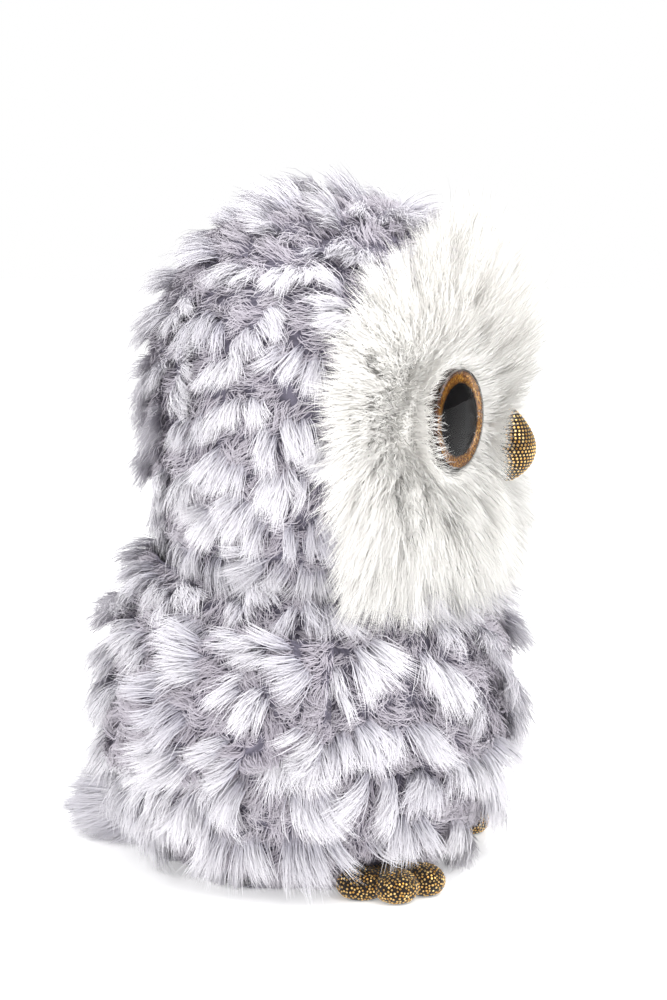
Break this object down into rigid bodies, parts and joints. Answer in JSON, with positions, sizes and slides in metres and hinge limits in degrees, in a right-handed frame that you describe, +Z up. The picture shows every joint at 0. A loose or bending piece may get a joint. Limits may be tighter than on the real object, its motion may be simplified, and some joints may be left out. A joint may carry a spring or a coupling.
{
  "type": "interactive plush pet",
  "caption": "Stuffed owl with long tufted fur and large domed eyes, whose head turns on a battery-driven geared neck; squeeze button inside the belly, soft wings and tail.",
  "frame": {"origin": "on the floor under the middle of the owl's length and width", "axes": "+Z up, the owl looks along -Y, +X is the owl's left side"},
  "size_m": [0.1446, 0.1512, 0.216],
  "materials": {
    "tufted_plush": "matte",
    "white_plush": "matte",
    "stuffing": "matte",
    "base_felt": "matte",
    "foil_dot_fabric": "satin",
    "clear_lens": "polished",
    "glitter_iris": "gloss",
    "black_gloss": "gloss",
    "white_plastic": "satin",
    "grey_casing": "matte",
    "switch_black": "satin",
    "button_red": "gloss",
    "gear_white": "satin",
    "steel": "satin",
    "bronze": "satin",
    "cell_wrap": "gloss",
    "board_green": "satin",
    "cone_paper": "matte"
  },
  "bodies": {
    "torso": {"base_pad": "base_felt", "body_skin": "tufted_plush", "body_filling": "stuffing", "right_foot": "foil_dot_fabric", "left_foot": "foil_dot_fabric", "casing_base": "grey_casing", "casing_cover": "grey_casing", "casing_screws": "steel", "gear_plate": "gear_white", "gear_axles": "steel", "plate_screws": "steel", "motor": "steel", "neck_bearing": "bronze", "circuit_board": "board_green", "tact_switch": "switch_black", "sound_chip": "switch_black", "board_capacitors": "cell_wrap", "speaker_frame": "steel", "speaker_cone": "cone_paper", "speaker_magnet": "steel", "battery_cells": "cell_wrap", "positive_contacts": "bronze", "negative_contacts": "bronze", "battery_springs": "steel", "battery_door": "grey_casing", "battery_door_screw": "steel", "power_switch_body": "switch_black", "button_spring": "steel"},
    "head": {"head_skin": "tufted_plush", "face_panel": "white_plush", "head_filling": "stuffing", "beak": "foil_dot_fabric", "head_frame": "white_plastic", "head_frame_screw": "steel", "neck_shaft": "steel", "output_gear": "gear_white", "right_eye_back": "black_gloss", "right_eye_pupil": "black_gloss", "right_eye_iris": "glitter_iris", "right_eye_lens": "clear_lens", "right_eye_washer": "white_plastic", "left_eye_back": "black_gloss", "left_eye_pupil": "black_gloss", "left_eye_iris": "glitter_iris", "left_eye_lens": "clear_lens", "left_eye_washer": "white_plastic"},
    "idler_2": {"idler_gear_2": "gear_white"},
    "idler_1": {"idler_gear_1": "gear_white"},
    "motor_rotor": {"motor_shaft": "steel", "motor_pinion": "gear_white"},
    "right_wing": {"right_wing": "tufted_plush"},
    "left_wing": {"left_wing": "tufted_plush"},
    "tail": {"tail": "tufted_plush"},
    "squeeze_button": {"squeeze_button": "button_red"},
    "power_switch": {"power_switch_knob": "switch_black"}
  },
  "joints": [
    {"name": "head_turn", "type": "hinge", "parent": "torso", "child": "head", "pos_m": [0, -0.00745, 0.1], "axis": [0, 0, 1], "range_deg": [-40, 40]},
    {"name": "idler_2_spin", "type": "hinge", "parent": "torso", "child": "idler_2", "pos_m": [0.01128, -0.00335, 0.05], "axis": [0, 0, 1], "range_deg": [-120, 120]},
    {"name": "idler_1_spin", "type": "hinge", "parent": "torso", "child": "idler_1", "pos_m": [0.00919, 0.00847, 0.05], "axis": [0, 0, 1], "range_deg": [-360, 360]},
    {"name": "motor_spin", "type": "hinge", "parent": "torso", "child": "motor_rotor", "pos_m": [-0.00208, 0.00437, 0.05], "axis": [0, 0, 1], "range_deg": [-1080, 1080]},
    {"name": "right_wing_swing", "type": "hinge", "parent": "torso", "child": "right_wing", "pos_m": [-0.0598, -0.02645, 0.07], "axis": [0, 0, 1], "range_deg": [0, 60]},
    {"name": "left_wing_swing", "type": "hinge", "parent": "torso", "child": "left_wing", "pos_m": [0.0598, -0.02645, 0.07], "axis": [0, 0, -1], "range_deg": [0, 60]},
    {"name": "tail_lift", "type": "hinge", "parent": "torso", "child": "tail", "pos_m": [0, 0.06025, 0.0262], "axis": [1, 0, 0], "range_deg": [0, 30]},
    {"name": "squeeze_button_press", "type": "slide", "parent": "torso", "child": "squeeze_button", "axis": [0, 1, 0], "range_m": [0, 0.002], "stiffness_N_per_m": 600, "springref_m": -0.001, "deforming": ["button_spring"]},
    {"name": "power_switch_slide", "type": "slide", "parent": "torso", "child": "power_switch", "axis": [1, 0, 0], "range_m": [0, 0.004]}
  ],
  "couplings": [
    {"joint": "idler_2_spin", "follows": "head_turn", "ratio": -3},
    {"joint": "idler_1_spin", "follows": "head_turn", "ratio": 9},
    {"joint": "motor_spin", "follows": "head_turn", "ratio": -27}
  ]
}
